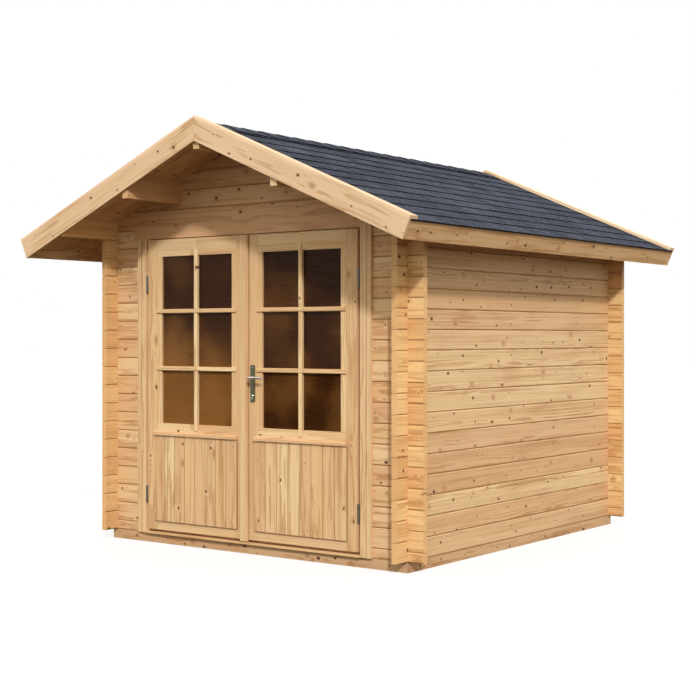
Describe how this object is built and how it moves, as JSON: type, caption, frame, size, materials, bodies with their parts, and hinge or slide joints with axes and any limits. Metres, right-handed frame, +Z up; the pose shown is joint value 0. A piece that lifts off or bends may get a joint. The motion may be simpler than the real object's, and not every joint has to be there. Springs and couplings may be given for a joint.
{
  "type": "wooden tool shed",
  "caption": "Small log-cabin style wooden tool shed with a shingled gable roof and an outward-opening glazed double door on its gable front.",
  "frame": {"origin": "on the ground, in the middle of the roof's plan", "axes": "+X to the right seen from the door, +Y from the door to the back, +Z up"},
  "size_m": [2.9238, 3.22, 2.5117],
  "materials": {
    "log_spruce": "sawn and planed, untreated",
    "spruce": "planed, untreated",
    "trim_spruce": "planed, untreated",
    "base_timber": "sawn, impregnated",
    "shingle": "bitumen with mineral granules",
    "glass": "clear float",
    "steel": "zinc plated",
    "nickel": "satin"
  },
  "bodies": {
    "shed": {"base_beams": "base_timber", "floor_joists": "base_timber", "floor_boards": "spruce", "left_wall": "log_spruce", "right_wall": "log_spruce", "back_wall": "log_spruce", "back_gable": "log_spruce", "front_wall_left": "log_spruce", "front_wall_right": "log_spruce", "front_gable": "log_spruce", "left_plate": "log_spruce", "right_plate": "log_spruce", "ridge_purlin": "spruce", "left_purlin": "spruce", "right_purlin": "spruce", "left_roof_boards": "spruce", "right_roof_boards": "spruce", "left_shingles": "shingle", "right_shingles": "shingle", "ridge_cap": "shingle", "front_left_barge": "trim_spruce", "front_right_barge": "trim_spruce", "back_left_barge": "trim_spruce", "back_right_barge": "trim_spruce", "front_cap_strips": "trim_spruce", "back_cap_strips": "trim_spruce", "left_eave_board": "trim_spruce", "right_eave_board": "trim_spruce", "left_jamb": "spruce", "right_jamb": "spruce", "door_head": "spruce", "door_sill": "spruce", "frame_hinges": "steel"},
    "left_leaf": {"left_leaf_frame": "spruce", "left_glass": "glass", "left_glazing_bars": "spruce", "left_panel": "spruce", "left_drip": "spruce", "left_leaf_hinges": "steel", "meeting_strip": "spruce"},
    "right_leaf": {"right_leaf_frame": "spruce", "right_glass": "glass", "right_glazing_bars": "spruce", "right_panel": "spruce", "right_drip": "spruce", "right_leaf_hinges": "steel", "lock_plates": "nickel"},
    "lever": {"lever_handle": "nickel"}
  },
  "joints": [
    {"name": "left_door", "type": "hinge", "parent": "shed", "child": "left_leaf", "pos_m": [-0.8125, -1.159, 0.95], "axis": [0, 0, -1], "range_deg": [0, 115]},
    {"name": "right_door", "type": "hinge", "parent": "shed", "child": "right_leaf", "pos_m": [0.8125, -1.159, 0.95], "axis": [0, 0, 1], "range_deg": [0, 115]},
    {"name": "handle", "type": "hinge", "parent": "right_leaf", "child": "lever", "pos_m": [0.05, -1.137, 1.034], "axis": [0, 1, 0], "range_deg": [0, 40], "stiffness_Nm_per_rad": 1, "springref_deg": -28.65}
  ]
}
